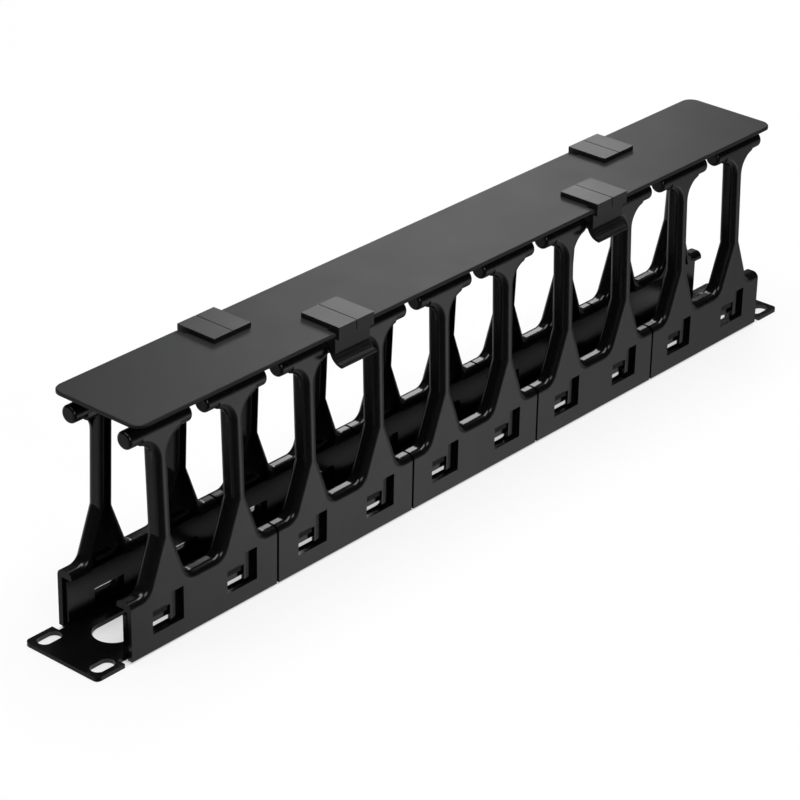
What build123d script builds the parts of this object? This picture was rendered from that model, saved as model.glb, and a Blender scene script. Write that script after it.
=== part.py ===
from build123d import *
import math
import os

# A one rack unit horizontal cable manager, lying on its steel back plate. X runs along the rack
# width, Y is the rack height direction (front row of fingers at -Y) and Z points away from the rack.
# The origin is on the underside of the back plate, at its middle. Lengths are in millimetres.

# Back plate
panel_length = 482.6
ear_length = 19.3
ear_height = 43.6
plate_thickness = 2.0
ear_corner_radius = 2.5
flange_top_gap = 2.2
flange_gap = 0.1
flange_end_inset = 2.3
bend_radius = 3.0
relief_width = 3.4
relief_depth = 4.2
slot_end_margin = 8.75
slot_spacing_y = 31.75
slot_length = 12.0
slot_width = 6.8
pass_hole_width = 18.2
pass_hole_margin = 2.0
flange_slot_length = 17.4
flange_slot_shift = 4.1
flange_slot_bottom = 5.5
flange_slot_top = 12.8

# Rows of finger modules
module_count = 5
fingers_per_module = 2
seam_gap = 1.3
row_shift = 0.3
row_height = 44.4
wall_thickness = 2.5
wall_bottom = 1.0
trough_top = 28.7
trough_corner_radius = 5.0
lip_depth = 8.5
lip_thickness = 3.7
foot_outer_round = 3.2
foot_inner_round = 3.0
stem_outer_round = 3.0
stem_inner_round = 2.0
kink_height = 52.8
flare_slope = 0.38
stem_width = 7.2
stem_overlap = 0.5
back_groove_width = 3.5
rod_radius = 4.1
rod_height = 101.3
rod_setback = 1.8
rod_end_round = 1.3
arm_length = 18.0
arm_corner_radius = 9.5
arm_clip_gap = 0.5

# Latch windows in the module walls
window_length = 18.2
window_height = 15.8
window_sill = 7.9
latch_recess = 0.5
latch_thickness = 1.5
latch_flat_length = 11.4
latch_curve_length = 4.5
latch_tip_thickness = 0.6
latch_lower_edge = 2.8
latch_slit_left = 8.5
latch_slit_width = 2.1
latch_slit_top = 10.2
tongue_lower_edge = 8.5
tongue_lip_height = 2.2
latch_root_length = 9.9
latch_root_shift = -2.3
latch_root_top = 26.9
latch_root_height = 2.0
latch_root_depth = 1.2

# Cover and its clips
cover_end_inset = 3.3
cover_overhang = 9.3
cover_thickness = 1.7
cover_rise = 9.7
cover_corner_radius = 6.0
cover_edge_bevel = 0.4
clip_length = 22.2
clip_depth = 21.9
clip_rise = 2.3
clip_seat = 0.05
notch_side_gap = 1.3
notch_floor_gap = 0.1
face_drop = 6.1
face_overhang = 2.2
jaw_outer = 7.9
jaw_drop = 1.0
jaw_clearance = 0.15
hook_angle = 40.0
inner_leg = 2.5
inner_leg_end = 0.5
grip_groove = 0.6
neck_inner = 4.5
grip_reach = 12.4
grip_tip_drop = 5.9
grip_tip_round = 1.0
grip_drop = 6.8
grip_root = 5.4
grip_root_drop = 2.7
grip_sag = 1.0
grip_tip_sag = 0.35
grip_rib_count = 3
grip_rib_radius = 0.45
clip_groove = 0.5
clip_groove_drop = 4.8
front_clip_pitches = 2
back_clip_pitches = 3

# Values worked out from the driving dimensions
body_length = panel_length - 2 * ear_length
module_length = body_length / module_count
finger_pitch = module_length / fingers_per_module
slot_spacing_x = panel_length - 2 * slot_end_margin
outer_y = row_height / 2
flange_height = trough_top - lip_thickness - flange_top_gap
flange_outer_y = outer_y - wall_thickness - flange_gap
flange_inner_y = flange_outer_y - plate_thickness
window_bottom = wall_bottom + window_sill
rod_y = outer_y - rod_setback - rod_radius
cover_length = body_length - 2 * cover_end_inset
cover_width = 2 * (rod_y + cover_overhang)
cover_top = rod_height + cover_rise
gusset_half_length = (finger_pitch - clip_length) / 2 - arm_clip_gap
finger_places = [(i - (fingers_per_module - 1) / 2) * finger_pitch for i in range(fingers_per_module)]
module_places = [(i - (module_count - 1) / 2) * module_length for i in range(module_count)]
window_places = [m + f for m in module_places for f in finger_places]
outward_y = {"front": -1, "back": 1}
clip_pitches = {"front": front_clip_pitches, "back": back_clip_pitches}
clip_places = {row: [outward_y[row] * row_shift + side * clip_pitches[row] * finger_pitch for side in (-1, 1)]
               for row in outward_y}


def save(piece, name):
    piece.part.label = name
    export_step(piece.part, f"parts/{name}.step")


def flare_half_width(height):
    return stem_width / 2 + flare_slope * (kink_height - height)


os.makedirs("parts", exist_ok=True)

# Back plate: a folded steel channel with slotted flanges and two slotted ears
with BuildPart() as back_plate:
    with BuildSketch(Plane.YZ.offset(-body_length / 2)) as channel_section:
        with Locations((0, flange_height / 2)):
            Rectangle(2 * flange_outer_y, flange_height)
        fillet(channel_section.vertices().group_by(Axis.Y)[0], bend_radius)
        with Locations((0, plate_thickness + flange_height / 2)):
            Rectangle(2 * flange_inner_y, flange_height, mode=Mode.SUBTRACT)
    extrude(amount=body_length)
    with BuildSketch() as ears:
        Rectangle(panel_length, ear_height)
        fillet(ears.vertices(), ear_corner_radius)
        Rectangle(body_length, ear_height, mode=Mode.SUBTRACT)
        with GridLocations(body_length + relief_width, ear_height, 2, 2):
            Rectangle(relief_width, 2 * relief_depth, mode=Mode.SUBTRACT)
    extrude(amount=plate_thickness)
    with BuildSketch():
        with GridLocations(slot_spacing_x, slot_spacing_y, 2, 2):
            SlotOverall(slot_length, slot_width)
        with Locations(*[(x, 0) for x in module_places]):
            SlotOverall(module_length - 2 * pass_hole_margin, pass_hole_width)
    extrude(amount=plate_thickness, mode=Mode.SUBTRACT)
    for outward in outward_y.values():
        with BuildSketch(Plane.XZ.offset(-outward * flange_outer_y)):
            slot_middle = (flange_slot_bottom + flange_slot_top) / 2
            with Locations(*[(x + outward * flange_slot_shift, slot_middle) for x in window_places]):
                Rectangle(flange_slot_length, flange_slot_top - flange_slot_bottom)
            with Locations((-outward * body_length / 2, plate_thickness)):
                Rectangle(2 * flange_end_inset, flange_height, align=(Align.CENTER, Align.MIN))
        extrude(amount=outward * plate_thickness, mode=Mode.SUBTRACT)
save(back_plate, "back_plate")

# Foot of a finger module: the wall and the flared feet of its fingers, hollow behind
outer_face = Plane.XZ.offset(outer_y)

with BuildPart() as finger_foot:
    with BuildSketch(outer_face) as foot_outline:
        with Locations((0, (wall_bottom + trough_top) / 2)):
            Rectangle(module_length - seam_gap, trough_top - wall_bottom)
        for x in finger_places:
            foot_half = flare_half_width(trough_top)
            with BuildLine():
                Polyline((x - foot_half, trough_top), (x - stem_width / 2, kink_height),
                         (x + stem_width / 2, kink_height), (x + foot_half, trough_top), close=True)
            make_face()
        inner_corners = [v for v in foot_outline.vertices()
                         if abs(v.Y - trough_top) < 0.01 and abs(v.X) < module_length / 2 - seam_gap]
        fillet(inner_corners, trough_corner_radius)
    extrude(amount=-lip_depth)
    for face_y, radius in ((-outer_y, foot_outer_round), (lip_depth - outer_y, foot_inner_round)):
        fillet([e for e in finger_foot.edges().filter_by(Plane.XZ)
                if trough_top - 0.01 < e.center().Z < kink_height - 0.01
                and abs(e.center().Y - face_y) < 0.01], radius)
    with BuildSketch(Plane.XZ.offset(outer_y - wall_thickness)):
        lip_underside = trough_top - lip_thickness
        with Locations((0, (wall_bottom + lip_underside) / 2)):
            Rectangle(module_length, lip_underside - wall_bottom)
        hollow_half = flare_half_width(lip_underside) - lip_thickness
        for x in finger_places:
            with BuildLine():
                Polyline((x - hollow_half, lip_underside), (x - back_groove_width / 2, kink_height),
                         (x + back_groove_width / 2, kink_height), (x + hollow_half, lip_underside),
                         close=True)
            make_face()
    extrude(amount=-lip_depth, mode=Mode.SUBTRACT)

# Head of a finger: a grooved stem that leans inward, with a rod across its top
lean = math.atan2(rod_setback, rod_height - kink_height)
leaning_face = Plane(origin=(0, -outer_y, kink_height), x_dir=(1, 0, 0),
                     z_dir=(0, -math.cos(lean), math.sin(lean)))
stem_length = (rod_height - kink_height) / math.cos(lean)
arm_underside = stem_length - rod_radius

with BuildPart() as finger_head:
    with BuildSketch(leaning_face) as head_outline:
        with Locations((0, (stem_length - stem_overlap) / 2)):
            Rectangle(stem_width, stem_length + stem_overlap)
        with Locations((0, (arm_underside + stem_length) / 2)):
            Rectangle(stem_width + 2 * arm_corner_radius, stem_length - arm_underside)
        arm_corners = [v for v in head_outline.vertices()
                       if abs(abs(v.X) - stem_width / 2) < 0.01 and v.Z > kink_height + stem_width]
        fillet(arm_corners, arm_corner_radius)
        Rectangle(2 * gusset_half_length, 2 * stem_length + stem_width, mode=Mode.INTERSECT)
    extrude(amount=-lip_depth)
    for depth, radius in ((0, stem_outer_round), (-lip_depth, stem_inner_round)):
        rounded = []
        for edge in finger_head.edges():
            spot = leaning_face.to_local_coords(edge.center())
            if abs(spot.Z - depth) < 0.01 and 0.01 < abs(spot.X) < gusset_half_length - 0.01:
                if 0.01 - stem_overlap < spot.Y < stem_length - 0.01:
                    rounded.append(edge)
        fillet(rounded, radius)
    with BuildSketch(leaning_face.offset(-wall_thickness)):
        with Locations((0, (arm_underside - lip_depth) / 2)):
            Rectangle(back_groove_width, arm_underside + lip_depth)
    extrude(amount=-lip_depth, mode=Mode.SUBTRACT)
    with Locations(Location((0, -rod_y, rod_height), (0, 90, 0))):
        Cylinder(rod_radius, 2 * arm_length)
    rod_ends = [finger_head.faces().sort_by(Axis.X)[0], finger_head.faces().sort_by(Axis.X)[-1]]
    fillet([edge for face in rod_ends for edge in face.edges()], rod_end_round)

# Latch: a tongue and a curved cheek hanging in the window, drawn here in plan
with BuildPart() as latch:
    with BuildSketch(Plane.XY.offset(window_bottom + latch_lower_edge)):
        window_left = -window_length / 2
        front_y = latch_recess - outer_y
        back_y = front_y + latch_thickness
        wall_back_y = wall_thickness - outer_y
        curve_start = window_left + latch_flat_length
        curve_end = curve_start + latch_curve_length
        with BuildLine():
            front = Line((window_left, front_y), (curve_start, front_y))
            cheek = TangentArc(front @ 1, (curve_end, wall_back_y - latch_tip_thickness), tangent=front % 1)
            Polyline(cheek @ 1, (curve_end, wall_back_y), (curve_start, back_y), (window_left, back_y), front @ 0)
        make_face()
    extrude(amount=window_height - latch_lower_edge)
    with BuildSketch(outer_face):
        with Locations((window_left + latch_slit_left, window_bottom)):
            Rectangle(latch_slit_width, latch_slit_top, align=(Align.MIN, Align.MIN))
        with Locations((window_left, window_bottom)):
            Rectangle(latch_slit_left, tongue_lower_edge, align=(Align.MIN, Align.MIN))
    extrude(amount=-lip_depth, mode=Mode.SUBTRACT)
    with BuildSketch(Plane.YZ.offset(window_left)):
        tongue_end = window_bottom + tongue_lower_edge
        with BuildLine():
            Polyline((front_y, tongue_end + tongue_lip_height), (-outer_y, tongue_end),
                     (back_y, tongue_end), (back_y, tongue_end + tongue_lip_height), close=True)
        make_face()
    extrude(amount=latch_slit_left)

# Finger module: one moulding of the wall, its fingers and their latches
with BuildPart() as finger_module:
    add(finger_foot.part)
    with Locations(*[(x, 0) for x in finger_places]):
        add(finger_head.part)
    with BuildSketch(outer_face):
        with Locations(*[(x, window_bottom + window_height / 2) for x in finger_places]):
            Rectangle(window_length, window_height)
    extrude(amount=-wall_thickness, mode=Mode.SUBTRACT)
    with Locations(*[(x, 0) for x in finger_places]):
        add(latch.part)
    with BuildSketch(Plane.XZ.offset(outer_y - wall_thickness)):
        with Locations(*[(x + latch_root_shift, latch_root_top) for x in finger_places]):
            Rectangle(latch_root_length, latch_root_height, align=(Align.CENTER, Align.MAX))
    extrude(amount=-latch_root_depth)

for row, turn in (("front", 0), ("back", 180)):
    for number, x in enumerate(module_places, 1):
        with BuildPart() as placed_module:
            with Locations(Location((x + outward_y[row] * row_shift, 0, 0), (0, 0, turn))):
                add(finger_module.part)
        save(placed_module, f"{row}_finger_module_{number}")

# Cover: a flat plate with a notch in its edge for each clip
notch_floor_y = rod_y + neck_inner - notch_floor_gap
notch_depth = cover_width / 2 - notch_floor_y

with BuildPart() as cover:
    with BuildSketch(Plane.XY.offset(cover_top - cover_thickness)) as cover_outline:
        Rectangle(cover_length, cover_width)
        fillet(cover_outline.vertices(), cover_corner_radius)
        with Locations(*[(x, outward_y[row] * cover_width / 2)
                         for row in clip_places for x in clip_places[row]]):
            Rectangle(clip_length + 2 * notch_side_gap, 2 * notch_depth, mode=Mode.SUBTRACT)
    extrude(amount=cover_thickness)
    chamfer(cover.faces().sort_by(Axis.Z)[-1].outer_wire().edges(), cover_edge_bevel)
save(cover, "cover")

# Clip in section across the cover: a pad on top, a neck through the notch, a jaw round the rod and a
# ribbed finger grip below it. Distances are outward from the rod axis, and up from it.
pad_top = cover_top + clip_rise - rod_height
pad_bottom = cover_top + clip_seat - rod_height
saddle_top = cover_top - cover_thickness - clip_seat - rod_height
face_outer = jaw_outer + face_overhang
face_bottom = pad_top - face_drop
pad_inner = face_outer - clip_depth
bore = rod_radius + jaw_clearance
leg_inner = -bore - inner_leg
hook_out = bore * math.cos(math.radians(hook_angle))
hook_down = bore * math.sin(math.radians(hook_angle))

# The front jaws have straight sides, so that they lift off their rods. The back jaws hook under theirs.
mouths = {
    "front": [(bore, -jaw_drop), (bore, 0), (-bore, 0), (-bore, -inner_leg_end), (leg_inner, -inner_leg_end)],
    "back": [(hook_out, -hook_down), (0, 0), (-hook_out, -hook_down), (leg_inner, -inner_leg_end)],
}

for row, outward in outward_y.items():
    for side, x in zip(("left", "right"), clip_places[row]):
        rod_plane = Plane(origin=(x, outward * rod_y, rod_height), x_dir=(0, outward, 0),
                          z_dir=(outward, 0, 0))
        with BuildPart() as clip:
            with BuildSketch(rod_plane):
                with BuildLine():
                    saddle = Polyline(mouths[row][-1], (leg_inner, saddle_top), (neck_inner, saddle_top))
                    pad = Polyline(saddle @ 1, (neck_inner, pad_bottom), (pad_inner, pad_bottom),
                                   (pad_inner, pad_top), (face_outer, pad_top))
                    jaw = Polyline(pad @ 1, (face_outer, face_bottom), (jaw_outer, face_bottom),
                                   (jaw_outer, -jaw_drop), (jaw_outer - grip_groove, -jaw_drop - grip_groove))
                    grip_top = SagittaArc(jaw @ 1, (grip_reach, -grip_tip_drop), -grip_sag)
                    grip_tip = SagittaArc(grip_top @ 1, (grip_reach - grip_tip_round, -grip_drop),
                                          grip_tip_sag)
                    grip_under = SagittaArc(grip_tip @ 1, (grip_root, -grip_root_drop), grip_sag)
                    Polyline(grip_under @ 1, *mouths[row])
                make_face()
                with Locations(*[grip_top @ ((i + 0.5) / grip_rib_count) for i in range(grip_rib_count)]):
                    Circle(grip_rib_radius)
                Circle(bore, mode=Mode.SUBTRACT)
            extrude(amount=clip_length / 2, both=True)
            with BuildSketch(Plane.YZ.offset(x)):
                with Locations((outward * (rod_y + face_outer - clip_depth / 2), cover_top + clip_rise)):
                    Rectangle(clip_depth, 2 * clip_groove)
                with Locations((outward * (rod_y + face_outer), cover_top + clip_rise)):
                    Rectangle(2 * clip_groove, 2 * clip_groove_drop)
            extrude(amount=clip_groove / 2, both=True, mode=Mode.SUBTRACT)
        save(clip, f"{row}_{side}_cover_clip")
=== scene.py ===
import math

import bmesh
import bpy
from mathutils import Matrix, Vector


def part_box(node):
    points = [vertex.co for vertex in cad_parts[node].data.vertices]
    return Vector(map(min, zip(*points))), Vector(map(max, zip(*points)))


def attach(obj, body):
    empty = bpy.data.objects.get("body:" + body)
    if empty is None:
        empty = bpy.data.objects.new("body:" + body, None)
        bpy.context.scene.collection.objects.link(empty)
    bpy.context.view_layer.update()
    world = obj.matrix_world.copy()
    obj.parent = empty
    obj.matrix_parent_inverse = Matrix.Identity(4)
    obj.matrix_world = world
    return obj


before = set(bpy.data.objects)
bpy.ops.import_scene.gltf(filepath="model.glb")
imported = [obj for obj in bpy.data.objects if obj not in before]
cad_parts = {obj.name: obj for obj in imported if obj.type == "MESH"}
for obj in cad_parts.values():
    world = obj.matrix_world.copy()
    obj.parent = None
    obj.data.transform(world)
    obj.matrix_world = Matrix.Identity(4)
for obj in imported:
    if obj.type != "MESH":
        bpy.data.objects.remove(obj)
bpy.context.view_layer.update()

# Camera, at the photograph's viewing angle
CAMERA_PLACE = (-0.98667, -0.82053, 0.69505)
CAMERA_AZIMUTH = math.radians(-49.41)
CAMERA_ELEVATION = math.radians(27.35)
CAMERA_ROLL = math.radians(1.18)
CAMERA_LENS = 141.03
SENSOR_WIDTH = 36.0
CAMERA_REACH = 100.0

# Linear colours, and how their surfaces vary
FINGER_BLACK = (0.0035, 0.0035, 0.0038)
STEEL_BLACK = (0.0030, 0.0030, 0.0032)
COVER_BLACK = (0.0050, 0.0050, 0.0053)
CLIP_BLACK = (0.0080, 0.0080, 0.0083)
PAPER_WHITE = (0.85, 0.85, 0.85, 1.0)
GRAIN_CONTRAST = 0.15
GRAIN_DETAIL = 3.0
CLOUD_SCALE = 60.0
CLOUD_DETAIL = 4.0

# Light that glossy surfaces mirror, where 1 is white.
# A patch fades from full to nothing between the two cosines of its edge, measured from its aim.
TABLE_AIM = (0, 0, -1)
TABLE_EDGE = (0.0, 0.12)
TABLE_LEVEL = 0.22
LIT_TABLE_AIM = (0.650, -0.628, -0.430)
LIT_TABLE_EDGE = (0.988, 0.9985)
LIT_TABLE_LEVEL = 0.86
BACK_TABLE_AIM = (0.05, 0.90, -0.42)
BACK_TABLE_EDGE = (0.75, 0.95)
BACK_TABLE_LEVEL = 0.40
DARK_TABLE_AIM = (-0.38, -0.80, -0.46)
DARK_TABLE_EDGE = (0.55, 0.90)
DARK_TABLE_SHARE = 0.92
ROOM_LEVEL = 0.02

# Finger arms, in metres. Heights are above the plate's underside, and depths are from a finger's front.
ROW_HALF_HEIGHT = 0.0222
FINGER_HALF_PITCH = 0.0222
KINK_HEIGHT = 0.0528
ROD_HEIGHT = 0.1013
ROD_SETBACK = 0.0018
ROD_RADIUS = 0.0041
STEM_HALF_WIDTH = 0.0036
ARM_CORNER_RADIUS = 0.0095
ARM_HALF_LENGTH = 0.0106
ARM_DEPTH = 0.0034
FRONT_ROUND = 0.0030
BACK_ROUND = 0.0004
GROOVE_HALF_WIDTH = 0.00175
GROOVE_FLOOR_DEPTH = 0.0025
ARM_SKIN = 0.00003
ARC_STEPS = 14
ROUND_STEPS = 8


def add_camera():
    back = Vector((math.sin(CAMERA_AZIMUTH) * math.cos(CAMERA_ELEVATION),
                   -math.cos(CAMERA_AZIMUTH) * math.cos(CAMERA_ELEVATION),
                   math.sin(CAMERA_ELEVATION)))
    level = Vector((math.cos(CAMERA_AZIMUTH), math.sin(CAMERA_AZIMUTH), 0.0))
    up = back.cross(level)
    right = math.cos(CAMERA_ROLL) * level + math.sin(CAMERA_ROLL) * up
    up = back.cross(right)
    camera = bpy.data.objects.new("camera", bpy.data.cameras.new("camera"))
    camera.data.lens = CAMERA_LENS
    camera.data.sensor_width = SENSOR_WIDTH
    camera.data.clip_end = CAMERA_REACH
    camera.matrix_world = Matrix((right, up, back)).transposed().to_4x4()
    camera.location = CAMERA_PLACE
    bpy.context.scene.collection.objects.link(camera)
    bpy.context.scene.camera = camera


def new_material(name):
    material = bpy.data.materials.new(name)
    material.use_nodes = True
    nodes = material.node_tree.nodes
    nodes.clear()
    output = nodes.new("ShaderNodeOutputMaterial")
    return material, nodes, material.node_tree.links, output


def noise(nodes, links, place, scale, detail):
    texture = nodes.new("ShaderNodeTexNoise")
    texture.inputs["Scale"].default_value = scale
    texture.inputs["Detail"].default_value = detail
    links.new(place.outputs["Object"], texture.inputs["Vector"])
    return texture.outputs["Fac"]


def moulded(name, colour, roughness, roughness_spread, grain_size, grain_height):
    """A black surface with a fine grain and slightly uneven gloss. Grain is measured in metres."""
    material, nodes, links, output = new_material(name)
    shader = nodes.new("ShaderNodeBsdfPrincipled")
    place = nodes.new("ShaderNodeTexCoord")
    grain = noise(nodes, links, place, 1.0 / grain_size, GRAIN_DETAIL)
    cloud = noise(nodes, links, place, CLOUD_SCALE, CLOUD_DETAIL)
    gloss = nodes.new("ShaderNodeMapRange")
    gloss.inputs["To Min"].default_value = roughness - roughness_spread
    gloss.inputs["To Max"].default_value = roughness + roughness_spread
    links.new(cloud, gloss.inputs["Value"])
    links.new(gloss.outputs["Result"], shader.inputs["Roughness"])
    tint = nodes.new("ShaderNodeMixRGB")
    tint.inputs["Color1"].default_value = [(1 - GRAIN_CONTRAST) * c for c in colour] + [1.0]
    tint.inputs["Color2"].default_value = [(1 + GRAIN_CONTRAST) * c for c in colour] + [1.0]
    links.new(grain, tint.inputs["Fac"])
    links.new(tint.outputs["Color"], shader.inputs["Base Color"])
    bump = nodes.new("ShaderNodeBump")
    bump.inputs["Strength"].default_value = 1.0
    bump.inputs["Distance"].default_value = grain_height
    links.new(grain, bump.inputs["Height"])
    links.new(bump.outputs["Normal"], shader.inputs["Normal"])
    links.new(shader.outputs["BSDF"], output.inputs["Surface"])
    return material


def dress(node, material):
    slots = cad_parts[node].data.materials
    slots.clear()
    slots.append(material)


def arm_tracks():
    """Depth and inset of each line that the section's rounded edges leave along an arm's corner."""
    tracks = []
    for step in range(ROUND_STEPS + 1):
        turn = math.radians(90.0 * step / ROUND_STEPS)
        depth = FRONT_ROUND * (1 - math.cos(turn)) - ARM_SKIN
        tracks.append((depth, FRONT_ROUND * (1 - math.sin(turn))))
    for step in reversed(range(ROUND_STEPS + 1)):
        turn = math.radians(90.0 * step / ROUND_STEPS)
        depth = ARM_DEPTH - BACK_ROUND * (1 - math.cos(turn)) + ARM_SKIN
        tracks.append((depth, BACK_ROUND * (1 - math.sin(turn))))
    return tracks


def arm_mesh():
    """Both concave arms of one finger, across its stem. X is across, Y is up the stem, Z is depth."""
    bm = bmesh.new()
    stem_length = math.hypot(ROD_SETBACK, ROD_HEIGHT - KINK_HEIGHT)
    underside = stem_length - ROD_RADIUS
    radius = ARM_CORNER_RADIUS - ARM_SKIN
    centre_x = STEM_HALF_WIDTH + ARM_CORNER_RADIUS
    centre_y = underside - ARM_CORNER_RADIUS
    end_x = ARM_HALF_LENGTH + ARM_SKIN
    groove_top = underside - ARM_SKIN
    groove_floor = GROOVE_FLOOR_DEPTH - ARM_SKIN
    tracks = arm_tracks()
    front_depth = tracks[0][0]
    back_depth = tracks[-1][0]
    sides = []
    for side in (-1, 1):
        grid = []
        for depth, inset in tracks:
            reach = radius + inset
            last = math.acos((centre_x - end_x) / reach)
            turns = [last * step / ARC_STEPS for step in range(ARC_STEPS + 1)]
            grid.append([bm.verts.new((side * (centre_x - reach * math.cos(turn)),
                                       centre_y + reach * math.sin(turn), depth))
                         for turn in turns])
        for first, second in zip(grid, grid[1:]):
            for a, b, c, d in zip(first, first[1:], second[1:], second):
                bm.faces.new((a, b, c, d)).smooth = True
        front_top = bm.verts.new((side * end_x, stem_length, front_depth))
        back_top = bm.verts.new((side * end_x, stem_length, back_depth))
        bm.faces.new([line[-1] for line in grid] + [back_top, front_top])
        groove_x = side * (GROOVE_HALF_WIDTH - ARM_SKIN)
        groove = [bm.verts.new((groove_x, y, z))
                  for y, z in ((centre_y, back_depth), (groove_top, back_depth),
                               (groove_top, groove_floor), (centre_y, groove_floor))]
        bm.faces.new(groove)
        sides.append((grid, front_top, back_top, groove))
    left, left_front, left_back, left_groove = sides[0]
    right, right_front, right_back, right_groove = sides[1]
    front_face = left[0] + [left_front, right_front] + right[0][::-1]
    back_face = left[-1] + [left_back, right_back] + right[-1][::-1]
    back_face += [right_groove[0], right_groove[1], left_groove[1], left_groove[0]]
    bottom_face = [line[0] for line in left]
    bottom_face += [left_groove[0], left_groove[3], right_groove[3], right_groove[0]]
    bottom_face += [line[0] for line in reversed(right)]
    for face in (front_face, back_face, bottom_face):
        bm.faces.new(face)
    bm.faces.new((left_front, left_back, right_back, right_front))
    for a, b in ((1, 2), (2, 3)):
        bm.faces.new((left_groove[a], left_groove[b], right_groove[b], right_groove[a]))
    bmesh.ops.recalc_face_normals(bm, faces=bm.faces)
    for edge in bm.edges:
        edge.smooth = all(face.smooth for face in edge.link_faces)
    return bm


def add_arms(module, material):
    """The concave corners under the rods of one module's two fingers."""
    low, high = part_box(module)
    middle = (low.x + high.x) / 2
    turn = Matrix.Rotation(math.pi if "back" in module else 0.0, 4, "Z")
    lean = math.atan2(ROD_SETBACK, ROD_HEIGHT - KINK_HEIGHT)
    across = Vector((1, 0, 0))
    up = Vector((0, math.sin(lean), math.cos(lean)))
    inward = Vector((0, math.cos(lean), -math.sin(lean)))
    bm = bmesh.new()
    for side in (-1, 1):
        frame_of_stem = Matrix((across, up, inward)).transposed().to_4x4()
        frame_of_stem.translation = (side * FINGER_HALF_PITCH, -ROW_HALF_HEIGHT, KINK_HEIGHT)
        finger = arm_mesh()
        finger.transform(Matrix.Translation((middle, 0, 0)) @ turn @ frame_of_stem)
        copy = bpy.data.meshes.new("arm_copy")
        finger.to_mesh(copy)
        finger.free()
        bm.from_mesh(copy)
        bpy.data.meshes.remove(copy)
    bmesh.ops.recalc_face_normals(bm, faces=bm.faces)
    name = module.replace("finger_module", "finger_arms")
    mesh = bpy.data.meshes.new(name)
    bm.to_mesh(mesh)
    bm.free()
    arms = bpy.data.objects.new(name, mesh)
    bpy.context.scene.collection.objects.link(arms)
    mesh.materials.append(material)
    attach(arms, "base")


def add_softbox(name, place, target, width, height, watts):
    lamp = bpy.data.objects.new(name, bpy.data.lights.new(name, "AREA"))
    lamp.data.shape = "RECTANGLE"
    lamp.data.size = width
    lamp.data.size_y = height
    lamp.data.energy = watts
    lamp.location = place
    lamp.rotation_euler = (Vector(target) - Vector(place)).to_track_quat("-Z", "Y").to_euler()
    bpy.context.scene.collection.objects.link(lamp)


def add_floor(name, half_x, half_y, level, glow, in_gloss):
    """A white sheet that takes shadows. Its glow, for the camera alone, brings it near white."""
    mesh = bpy.data.meshes.new(name)
    corners = [(-half_x, -half_y, 0), (half_x, -half_y, 0), (half_x, half_y, 0), (-half_x, half_y, 0)]
    mesh.from_pydata(corners, [], [(0, 1, 2, 3)])
    floor = bpy.data.objects.new(name, mesh)
    floor.location.z = level
    bpy.context.scene.collection.objects.link(floor)
    material, nodes, links, output = new_material(name)
    paper = nodes.new("ShaderNodeBsdfDiffuse")
    paper.inputs["Color"].default_value = PAPER_WHITE
    white = nodes.new("ShaderNodeEmission")
    white.inputs["Strength"].default_value = 1.0
    ray = nodes.new("ShaderNodeLightPath")
    blend = arithmetic(nodes, links, "MULTIPLY", ray.outputs["Is Camera Ray"], glow)
    mix = nodes.new("ShaderNodeMixShader")
    links.new(blend, mix.inputs["Fac"])
    links.new(paper.outputs["BSDF"], mix.inputs[1])
    links.new(white.outputs["Emission"], mix.inputs[2])
    links.new(mix.outputs["Shader"], output.inputs["Surface"])
    mesh.materials.append(material)
    floor.visible_glossy = in_gloss


def patch(nodes, links, direction, aim, edge):
    """1 near the aim, falling smoothly to 0 away from it."""
    dot = nodes.new("ShaderNodeVectorMath")
    dot.operation = "DOT_PRODUCT"
    dot.inputs[1].default_value = Vector(aim).normalized()
    links.new(direction, dot.inputs[0])
    ramp = nodes.new("ShaderNodeMapRange")
    ramp.interpolation_type = "SMOOTHSTEP"
    ramp.inputs["From Min"].default_value = edge[0]
    ramp.inputs["From Max"].default_value = edge[1]
    links.new(dot.outputs["Value"], ramp.inputs["Value"])
    return ramp.outputs["Result"]


def arithmetic(nodes, links, operation, first, second):
    step = nodes.new("ShaderNodeMath")
    step.operation = operation
    for socket, value in zip(step.inputs, (first, second)):
        if isinstance(value, (int, float)):
            socket.default_value = value
        else:
            links.new(value, socket)
    return step.outputs["Value"]


def background(nodes, level):
    shader = nodes.new("ShaderNodeBackground")
    shader.inputs["Color"].default_value = (level, level, level, 1.0)
    return shader


def mirrored_level(nodes, links, direction):
    """A dark room over a table, which is lit at the front right and behind, and dark at the front left."""
    lit = patch(nodes, links, direction, LIT_TABLE_AIM, LIT_TABLE_EDGE)
    back_lit = patch(nodes, links, direction, BACK_TABLE_AIM, BACK_TABLE_EDGE)
    shade = patch(nodes, links, direction, DARK_TABLE_AIM, DARK_TABLE_EDGE)
    extent = patch(nodes, links, direction, TABLE_AIM, TABLE_EDGE)
    front_light = arithmetic(nodes, links, "MULTIPLY", lit, LIT_TABLE_LEVEL)
    back_light = arithmetic(nodes, links, "MULTIPLY", back_lit, BACK_TABLE_LEVEL)
    light = arithmetic(nodes, links, "ADD", front_light, back_light)
    table = arithmetic(nodes, links, "ADD", light, TABLE_LEVEL)
    dimmed = arithmetic(nodes, links, "MULTIPLY", shade, DARK_TABLE_SHARE)
    kept = arithmetic(nodes, links, "SUBTRACT", 1.0, dimmed)
    table = arithmetic(nodes, links, "MULTIPLY", table, kept)
    table = arithmetic(nodes, links, "MULTIPLY", table, extent)
    return arithmetic(nodes, links, "ADD", table, ROOM_LEVEL)


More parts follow.
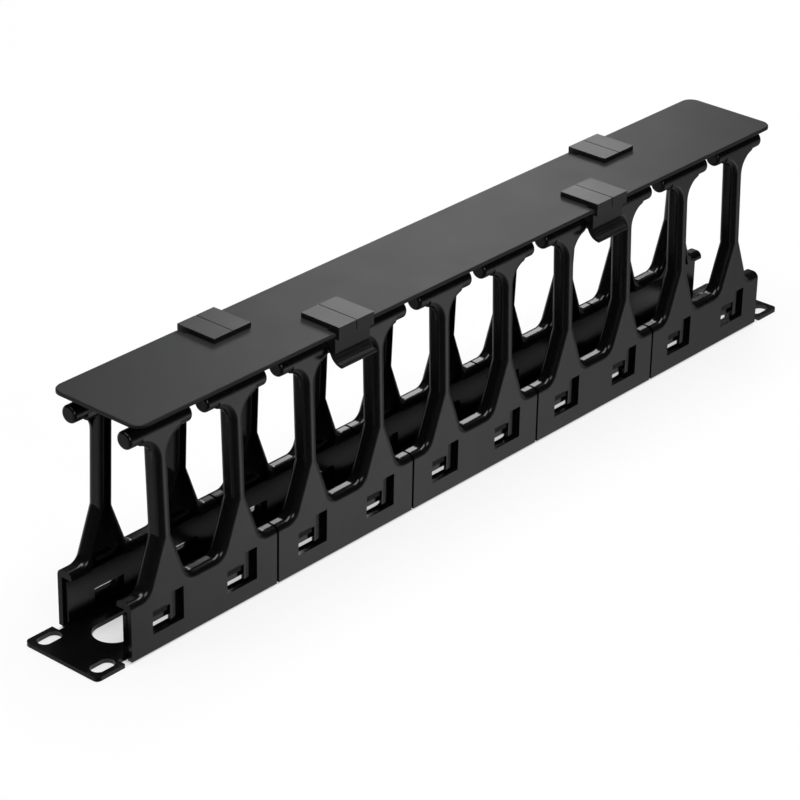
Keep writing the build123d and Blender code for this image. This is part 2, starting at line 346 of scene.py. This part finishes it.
def set_world():
    """White for the camera, the room and its table for gloss, and a dim room for all other light."""
    world = bpy.data.worlds.new("studio")
    world.use_nodes = True
    nodes, links = world.node_tree.nodes, world.node_tree.links
    nodes.clear()
    output = nodes.new("ShaderNodeOutputWorld")
    direction = nodes.new("ShaderNodeTexCoord").outputs["Generated"]
    seen = background(nodes, 1.0)
    around = background(nodes, ROOM_LEVEL)
    mirrored = background(nodes, 1.0)
    links.new(mirrored_level(nodes, links, direction), mirrored.inputs["Strength"])
    ray = nodes.new("ShaderNodeLightPath")
    inner = nodes.new("ShaderNodeMixShader")
    outer = nodes.new("ShaderNodeMixShader")
    links.new(ray.outputs["Is Glossy Ray"], inner.inputs["Fac"])
    links.new(around.outputs["Background"], inner.inputs[1])
    links.new(mirrored.outputs["Background"], inner.inputs[2])
    links.new(ray.outputs["Is Camera Ray"], outer.inputs["Fac"])
    links.new(inner.outputs["Shader"], outer.inputs[1])
    links.new(seen.outputs["Background"], outer.inputs[2])
    links.new(outer.outputs["Shader"], output.inputs["Surface"])
    bpy.context.scene.world = world


add_camera()
bpy.context.scene.view_settings.view_transform = "Standard"
set_world()

# The wide floor stays out of the gloss. A strip under the plate closes its holes off for glossy rays, and
# its lower glow darkens the floor seen through those holes as painted shade.
add_floor("floor", half_x=30.0, half_y=30.0, level=-0.0002, glow=0.82, in_gloss=False)
add_floor("painted_shade_floor_under_plate", half_x=0.2410, half_y=0.0215, level=-0.0001, glow=0.45, in_gloss=True)

add_softbox("top_softbox", place=(0, 0, 2.2), target=(0, 0, 0), width=2.4, height=1.8, watts=66)
add_softbox("back_softbox", place=(0.82, 0.68, 0.60), target=(0, 0, 0.11),
            width=0.35, height=0.35, watts=1.70)
add_softbox("front_softbox", place=(-0.62, -1.05, 0.62), target=(0, 0, 0.08),
            width=0.5, height=0.5, watts=2.4)

finger_plastic = moulded("finger_plastic_gloss", FINGER_BLACK, roughness=0.21, roughness_spread=0.03,
                         grain_size=0.0012, grain_height=0.000004)
cover_plastic = moulded("cover_plastic_textured", COVER_BLACK, roughness=0.50, roughness_spread=0.04,
                        grain_size=0.0006, grain_height=0.000030)
clip_plastic = moulded("clip_plastic_satin", CLIP_BLACK, roughness=0.38, roughness_spread=0.03,
                       grain_size=0.0010, grain_height=0.000005)
steel = moulded("powder_coated_steel", STEEL_BLACK, roughness=0.20, roughness_spread=0.03,
                grain_size=0.0009, grain_height=0.000008)

for name in sorted(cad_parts):
    if "finger_module" in name:
        dress(name, finger_plastic)
        add_arms(name, finger_plastic)
    elif name == "cover":
        dress(name, cover_plastic)
    elif "clip" in name:
        dress(name, clip_plastic)
    else:
        dress(name, steel)
